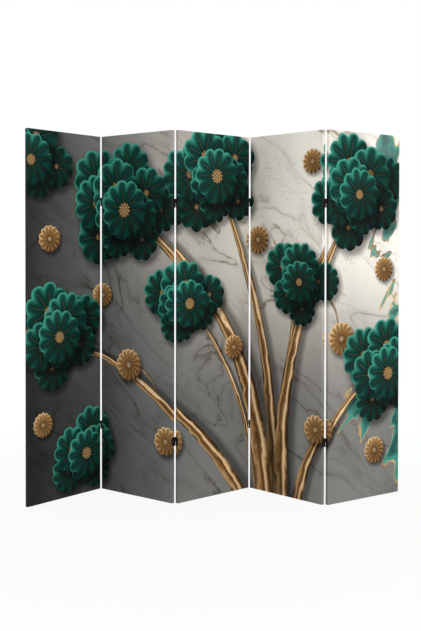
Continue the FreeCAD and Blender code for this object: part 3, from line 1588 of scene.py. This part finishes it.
    def corner_folds(self) -> bpy.types.Object:
        """Make the doubled cloth at the corners, on the side faces and on the back.

        Returns:
            The new piece.
        """
        size = self.sizes
        depth = size.panel_depth
        rise = size.canvas_thickness * self.doubled_share
        low = self.fold_radius
        deep, wide = depth - low, size.flap_width - low
        side = ((0.0, low, low), (0.0, deep, low), (0.0, deep, deep))
        back = ((low, depth, low), (wide, depth, wide), (low, depth, wide))
        shape = bmesh.new()
        shape.loops.layers.uv.new(self.uv_name)
        for at_right, at_top in product((False, True), repeat=2):
            for corners, out in ((side, (-rise, 0, 0)), (back, (0, rise, 0))):
                fold = self.doubled(corners, Vector(out), at_right, at_top)
                stamp(shape, fold, [self.place])
        name = f"{self.body}_corner_folds"
        return make_piece(name, shape, [self.printed()], self.body)

    def doubled(
        self, corners: tuple[Triple, ...], rise: Vector, at_right: bool, at_top: bool
    ) -> BMesh:
        """Make one triangle of doubled cloth at a corner.

        Args:
            corners: The triangle at the lower left corner of the panel.
            rise: How far and which way it stands off there.
            at_right: Whether it is mirrored to the right side.
            at_top: Whether it is mirrored to the top.

        Returns:
            The triangle in the panel's frame.
        """
        size = self.sizes
        shape = bmesh.new()
        sheet = shape.loops.layers.uv.new(self.uv_name)
        base = shape.faces.new([shape.verts.new(corner) for corner in corners])
        raised = raise_face(shape, base, rise)
        top = [edge for edge in shape.edges if all(end in raised for end in edge.verts)]
        round_edges(shape, top, rise.length * self.doubled_round, 2)
        for vert in shape.verts:
            if at_right:
                vert.co.x = size.panel_width - vert.co.x
            if at_top:
                vert.co.z = size.panel_height - vert.co.z
        shape.normal_update()
        bmesh.ops.recalc_face_normals(shape, faces=shape.faces)
        for face in shape.faces:
            for loop in face.loops:
                x, y, z = loop.vert.co
                if rise.x:
                    x = size.panel_width + y if at_right else -y
                loop[sheet].uv = (self.low_u + x, z)
        return shape


@dataclass
class StapleRow:
    """The staples that hold one panel's canvas to the backs of its bars.

    End_round and stand_off are in heights of the wire, and end_share is in crowns.
    """

    number: int
    place: Matrix
    sizes: ScreenSizes
    crown: float = 10.0 * MM
    end_share: float = 1 / 3
    wire_width: float = 1.1 * MM
    wire_height: float = 0.6 * MM
    end_round: float = 0.7
    stand_off: float = 0.25
    from_edge: float = 12.5 * MM
    stray_along: float = 3 * MM
    stray_beside: float = 0.8 * MM
    lean: float = math.radians(8)

    pitch: ClassVar[float] = 62 * MM

    def pattern(self) -> BMesh:
        """Make one staple, whose rounded ends turn down into the cloth.

        Returns:
            The staple at the origin, with its outer side towards +Y.
        """
        shape = bmesh.new()
        stretch = Matrix.Diagonal((self.crown, self.wire_height, self.wire_width, 1))
        bmesh.ops.create_cube(shape, size=1.0, matrix=stretch)
        ends = []
        for edge in shape.edges:
            middle = (edge.verts[0].co + edge.verts[1].co) / 2
            if middle.y > 0 and abs(middle.x) > self.crown * self.end_share:
                ends.append(edge)
        round_edges(shape, ends, self.wire_height * self.end_round, 2)
        return shape

    def build(self) -> None:
        """Set the staples along the four flaps, each a little out of line."""
        size = self.sizes
        width, height = size.panel_width, size.panel_height
        back = size.panel_depth + self.wire_height * self.stand_off
        places = []
        for is_upright in (True, False):
            length, across = (height, width) if is_upright else (width, height)
            count = round((length - self.pitch) / self.pitch)
            start = (length - count * self.pitch) / 2
            sides = (self.from_edge, across - self.from_edge)
            for step, side in product(range(count + 1), sides):
                # The sines only scatter the staples.
                stray = math.sin(12.9 * step + 41 * side + self.number)
                along = start + step * self.pitch + self.stray_along * stray
                sway = math.sin(7.1 * step + 3 * self.number)
                beside = side + self.stray_beside * sway
                spot = (beside, back, along) if is_upright else (along, back, beside)
                angle = self.lean * stray + (QUARTER_TURN if is_upright else 0)
                turn = Matrix.Rotation(angle, 4, "Y")
                places.append(self.place @ Matrix.Translation(spot) @ turn)
        shape = bmesh.new()
        stamp(shape, self.pattern(), places)
        body = f"panel_{self.number}"
        wire = [BrightWire("Staple wire")]
        make_piece(f"{body}_staples", shape, wire, body)


@dataclass
class PineBars:
    """The five CAD bars of one panel, which stay and get their wood."""

    number: int
    yaw: float
    nodes: dict[str, bpy.types.Object]
    arris: float = 0.45 * MM
    weld_reach: float = 0.01 * MM
    least_corner: float = math.radians(40)

    bars: ClassVar[tuple[str, ...]] = (
        "stile_left",
        "stile_right",
        "rail_top",
        "rail_bottom",
        "rail_cross",
    )

    def dress(self) -> None:
        """Give each bar its own piece of pine and take off its sharp arrises."""
        for order, bar in enumerate(self.bars):
            node = self.nodes[f"panel_{self.number}_{bar}"]
            batch = len(self.bars) * self.number + order
            pine = PlanedPine(f"Pine {batch}", self.yaw, bar.startswith("stile"), batch)
            node.data.materials.clear()
            node.data.materials.append(pine.material())
            weld = node.modifiers.new("Merged corners", "WELD")
            weld.merge_threshold = self.weld_reach
            ease = node.modifiers.new("Eased arrises", "BEVEL")
            ease.width = self.arris
            ease.segments = 2
            ease.limit_method = "ANGLE"
            ease.angle_limit = self.least_corner
            ease.harden_normals = False
            log.info("%s: pine", node.name)


@dataclass
class HingeSet:
    """The two hinges of one seam: CAD leaves and plates, with screws and pin heads.

    The recess of a screw is in shares of its radius and of its rise, and the
    inner corners of its cross lie between two angles, in degrees.
    """

    seam: int
    plan: ScreenPlan
    nodes: dict[str, bpy.types.Object]
    round_segments: int = 24
    screw_radius: float = 2.9 * MM
    screw_rise: float = 0.14 * MM
    screw_spacing: float = 12 * MM
    recess_share: float = 0.42
    recess_depth: float = 0.9
    cross_corner: Point = (22, 68)
    pin_head_radius: float = 1.75 * MM
    pin_head_rise: float = 0.9 * MM
    pin_head_segments: int = 16

    paint: ClassVar[HingePaint] = HingePaint("Hinge paint")

    def dress(self) -> None:
        """Paint the CAD pieces and add the small fastenings."""
        for part in ("leaves_left", "leaves_right", "plates"):
            node = self.nodes[f"hinge_{self.seam}_{part}"]
            node.data.materials.clear()
            node.data.materials.append(self.paint.material())
            log.info("%s: painted", node.name)
        size = self.plan.sizes
        self.screws("left", self.seam, size.panel_width + size.leaf_thickness, 1)
        self.screws("right", self.seam + 1, -size.leaf_thickness, -1)
        self.pin_heads()

    def screw_pattern(self) -> BMesh:
        """Make a flat screw head with a cross recess.

        Returns:
            The head at the origin, looking along +Z.
        """
        shape = bmesh.new()
        bmesh.ops.create_cone(
            shape,
            cap_ends=True,
            segments=self.round_segments,
            radius1=self.screw_radius,
            radius2=self.screw_radius - self.screw_rise,
            depth=2 * self.screw_rise,
        )
        top = max(shape.faces, key=lambda face: face.calc_center_median().z)
        recess = self.screw_radius * self.recess_share
        bmesh.ops.inset_region(shape, faces=[top], thickness=recess)
        for vert in top.verts:
            angle = math.degrees(math.atan2(vert.co.y, vert.co.x)) % 90
            if self.cross_corner[0] < angle < self.cross_corner[1]:
                vert.co.xy *= self.recess_share
        raise_face(shape, top, Vector((0, 0, -self.recess_depth * self.screw_rise)))
        bmesh.ops.delete(shape, geom=[top], context="FACES_ONLY")
        bmesh.ops.recalc_face_normals(shape, faces=shape.faces)
        return shape

    def screws(self, side: str, panel: int, x: float, way: int) -> None:
        """Set the screw heads on one panel's leaves, each turned its own way.

        Args:
            side: Which leaves of the seam these are.
            panel: The panel that carries them.
            x: The leaf's outer face in the panel's frame.
            way: 1 where the heads look along the panel's X, or -1.
        """
        size = self.plan.sizes
        face_out = Matrix.Rotation(way * QUARTER_TURN, 4, "Y")
        home = self.plan.panel_place(panel)
        places = []
        for order, height in enumerate(size.hinge_heights(self.seam)):
            for drop in (-self.screw_spacing, self.screw_spacing):
                spot = Matrix.Translation((x, size.panel_depth / 2, height + drop))
                spin = Matrix.Rotation(0.7 * order + 40 * drop + 0.3 * way, 4, "Z")
                places.append(home @ spot @ face_out @ spin)
        shape = bmesh.new()
        stamp(shape, self.screw_pattern(), places)
        name = f"hinge_{self.seam}_screws_{side}"
        make_piece(name, shape, [self.paint], f"panel_{panel}")

    def pin_heads(self) -> None:
        """Set a low domed head on both ends of every pin."""
        size = self.plan.sizes
        shape = bmesh.new()
        flat = Matrix.Diagonal((1, 1, self.pin_head_rise / self.pin_head_radius, 1))
        heights = size.hinge_heights(self.seam)
        for side, height, way in product(("front", "rear"), heights, (-1, 1)):
            foot = self.plan.pin(self.seam, side)
            end = height + way * size.hinge_height / 2
            spot = Matrix.Translation((foot.x, foot.y, end))
            bmesh.ops.create_uvsphere(
                shape,
                u_segments=self.pin_head_segments,
                v_segments=self.pin_head_segments // 2,
                radius=self.pin_head_radius,
                matrix=spot @ flat,
            )
        name = f"hinge_{self.seam}_pin_heads"
        make_piece(name, shape, [self.paint], f"plate_{self.seam}")


# --------------------------------------------------------------------------
# Studio
# --------------------------------------------------------------------------


@dataclass(frozen=True)
class Studio:
    """The pale floor, the soft lights and the camera."""

    floor_half_width: float = 9.0
    floor_drop: float = 0.4 * MM
    floor_colour: Triple = (0.93, 0.93, 0.93)
    world_strength: float = 0.57
    lamps: tuple[tuple[str, float, Triple], ...] = (
        ("key_lamp", 290.0, (5.0, -6.0, 3.0)),
        ("fill_lamp", 135.0, (-5.0, -5.6, 2.2)),
        ("rear_lamp", 135.0, (1.0, 6.4, 3.2)),
    )
    lamp_size: float = 4.5
    lamp_target: Triple = (0.0, 0.0, 0.85)
    lens: float = 54.705
    shift: Point = (0.0009, -0.0807)
    eye: Triple = (-0.0457, -4.5290, 1.1731)
    yaw: float = math.radians(-0.098)
    pitch_down: float = math.radians(0.917)
    roll: float = math.radians(0.090)
    far_clip: float = 60.0
    seen_white_share: float = 0.9
    shadow_reach: Point = (1.1, 2.4)

    @staticmethod
    def plainly_seen(w: Wiring) -> Signal:
        """Tell rays from the camera, off metal or through glass from others.

        Args:
            w: The wiring that the answer goes into.

        Returns:
            1 for such a ray and 0 for any other.
        """
        path = w.outputs(w.node("LightPath"))
        direct = path.is_camera_ray.larger(path.is_glossy_ray)
        return direct.larger(path.is_transmission_ray)

    def world(self) -> None:
        """An even pale light that is white where it is looked at."""
        world = bpy.data.worlds.new("Studio")
        world.use_nodes = True
        w = Wiring(world.node_tree)
        strength = self.plainly_seen(w).span(self.world_strength, 1.0)
        light = world.node_tree.nodes["Background"]
        w.feed(light, {"Color": (1.0, 1.0, 1.0), "Strength": strength})
        bpy.context.scene.world = world

    def floor_paint(self) -> bpy.types.Material:
        """Make white paint that keeps a faint shadow near the middle.

        Returns:
            The paint.
        """
        paint = bpy.data.materials.new("Studio floor")
        paint.use_nodes = True
        w = Wiring(paint.node_tree)
        matt = paint.node_tree.nodes["Principled BSDF"]
        look = {"Base Color": self.floor_colour, "Roughness": 1.0}
        w.feed(matt, look | {"Specular IOR Level": 0.0})
        white = w.node("Emission", {"Color": (1.0, 1.0, 1.0), "Strength": 1.0})
        place = w.result("TexCoord", output="Object")
        away = place.length().step(*self.shadow_reach)
        share = away.span(self.seen_white_share, 1.0)
        share = self.plainly_seen(w) * share
        both = {0: share, 1: matt.outputs[0], 2: white.outputs[0]}
        out = paint.node_tree.nodes["Material Output"]
        w.feed(out, {"Surface": w.result("MixShader", both)})
        return paint

    def floor(self) -> None:
        """A wide floor just below the feet."""
        shape = bmesh.new()
        drop = Matrix.Translation((0, 0, -self.floor_drop))
        bmesh.ops.create_grid(
            shape, x_segments=1, y_segments=1, size=self.floor_half_width, matrix=drop
        )
        floor = placed("studio_floor", mesh_of("studio_floor", shape))
        floor.data.materials.append(self.floor_paint())

    def lamp(self, name: str, power: float, spot: Vector) -> None:
        """Add one large soft lamp that looks at the screen's middle.

        Args:
            name: The lamp's name.
            power: Its power in watts.
            spot: Its place.
        """
        light = bpy.data.lights.new(name, "AREA")
        light.energy = power
        light.size = self.lamp_size
        lamp = placed(name, light)
        lamp.location = spot
        away = Vector(self.lamp_target) - spot
        lamp.rotation_euler = away.to_track_quat("-Z", "Y").to_euler()

    def camera(self) -> None:
        """The camera at the photograph's place."""
        lens = bpy.data.cameras.new("Photo view")
        lens.lens = self.lens
        lens.shift_x, lens.shift_y = self.shift
        lens.clip_end = self.far_clip
        camera = placed("photo_view", lens)
        yaw = Matrix.Rotation(self.yaw, 4, "Z")
        tilt = Matrix.Rotation(QUARTER_TURN - self.pitch_down, 4, "X")
        roll = Matrix.Rotation(self.roll, 4, "Z")
        camera.matrix_world = Matrix.Translation(self.eye) @ yaw @ tilt @ roll
        bpy.context.scene.camera = camera

    def build(self) -> None:
        """Set up the floor, the lights, the world and the camera."""
        self.world()
        self.floor()
        for name, power, spot in self.lamps:
            self.lamp(name, power, Vector(spot))
        self.camera()
        bpy.context.scene.view_settings.view_transform = "Standard"
        log.info("studio: ready")


def main() -> None:
    """Load the frame and dress it."""
    logging.basicConfig(level=logging.INFO, format="%(message)s")
    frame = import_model()
    sizes = ScreenSizes()
    plan = ScreenPlan(sizes, {joint["name"]: joint for joint in frame["joints"]})
    for number in range(1, sizes.panel_count + 1):
        place = plan.panel_place(number)
        PineBars(number, plan.panel_yaw(number), frame["nodes"]).dress()
        CanvasWrap(number, place, sizes).build()
        StapleRow(number, place, sizes).build()
    for seam in range(1, sizes.panel_count):
        HingeSet(seam, plan, frame["nodes"]).dress()
    Studio().build()
    bpy.context.view_layer.update()


if __name__ == "__main__":
    main()
